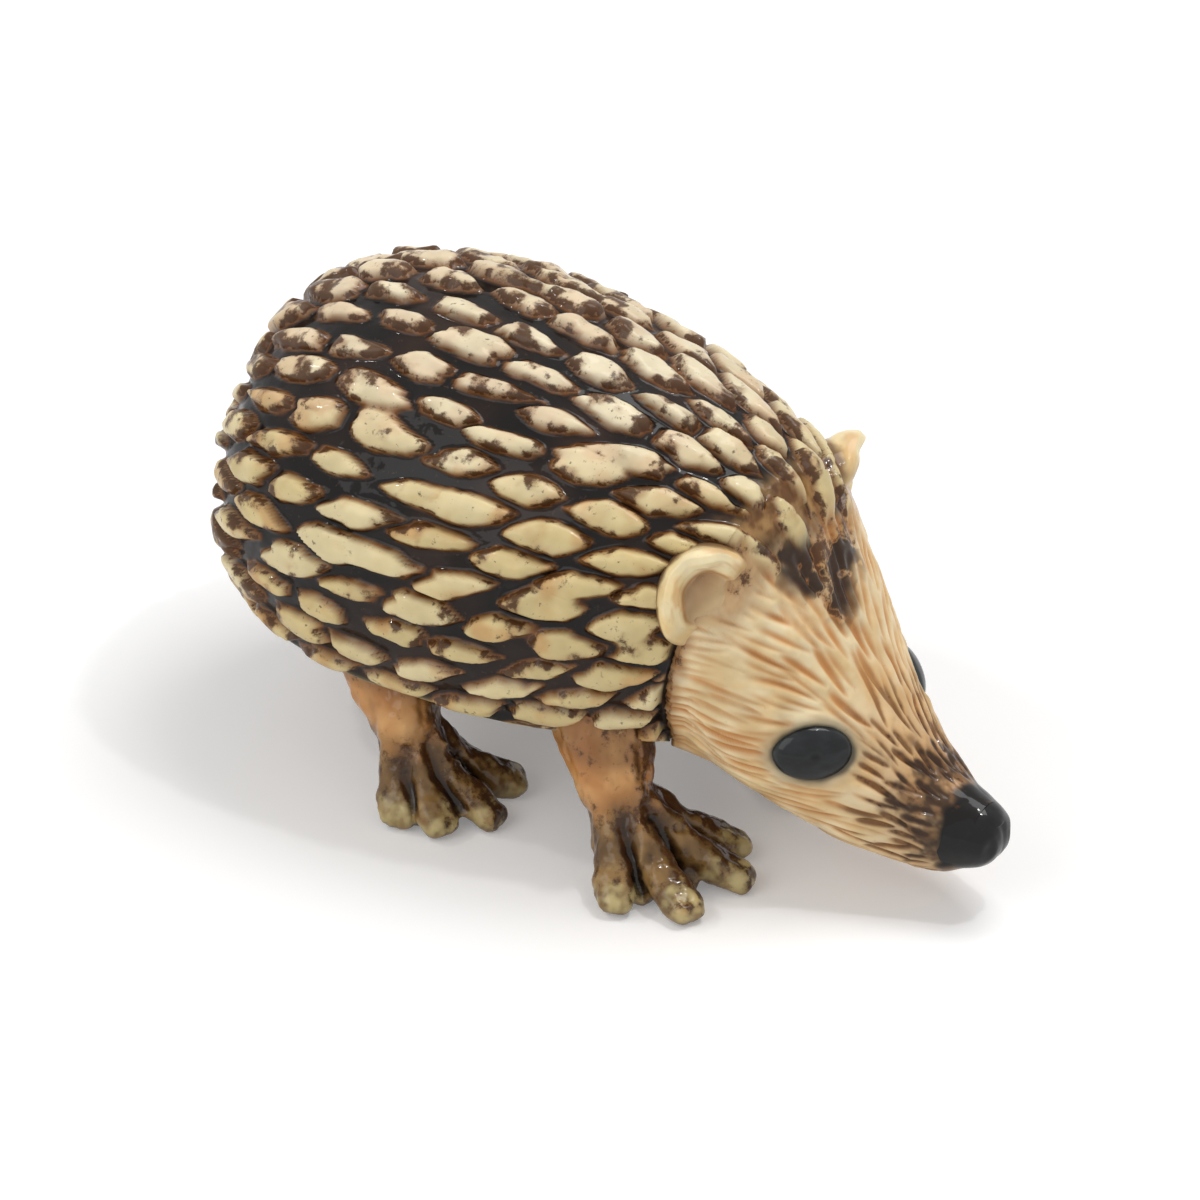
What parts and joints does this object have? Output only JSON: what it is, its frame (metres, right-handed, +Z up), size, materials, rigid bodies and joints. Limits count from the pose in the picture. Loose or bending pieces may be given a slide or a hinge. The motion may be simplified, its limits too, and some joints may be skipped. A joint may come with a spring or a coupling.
{
  "type": "hedgehog figurine",
  "caption": "Small glazed ceramic hedgehog standing on splayed feet, with a quilled coat, curled ears and a drooping snout; a shelf ornament.",
  "frame": {"origin": "on the ground, under the middle of the overall length and width", "axes": "+X is the way that the animal faces, +Y is its left side, +Z is up"},
  "size_m": [0.0356, 0.0194, 0.0206],
  "materials": {
    "belly_glaze": "gloss",
    "coat_glaze": "gloss",
    "face_glaze": "gloss",
    "ear_glaze": "gloss",
    "eye_glaze": "gloss",
    "nose_glaze": "gloss",
    "leg_glaze": "gloss"
  },
  "bodies": {
    "root": {"body": "belly_glaze", "coat": "coat_glaze", "head": "face_glaze", "ear_left": "ear_glaze", "ear_right": "ear_glaze", "eye_left": "eye_glaze", "eye_right": "eye_glaze", "nose": "nose_glaze", "front_left_leg": "leg_glaze", "front_right_leg": "leg_glaze", "rear_left_leg": "leg_glaze", "rear_right_leg": "leg_glaze"}
  },
  "joints": []
}
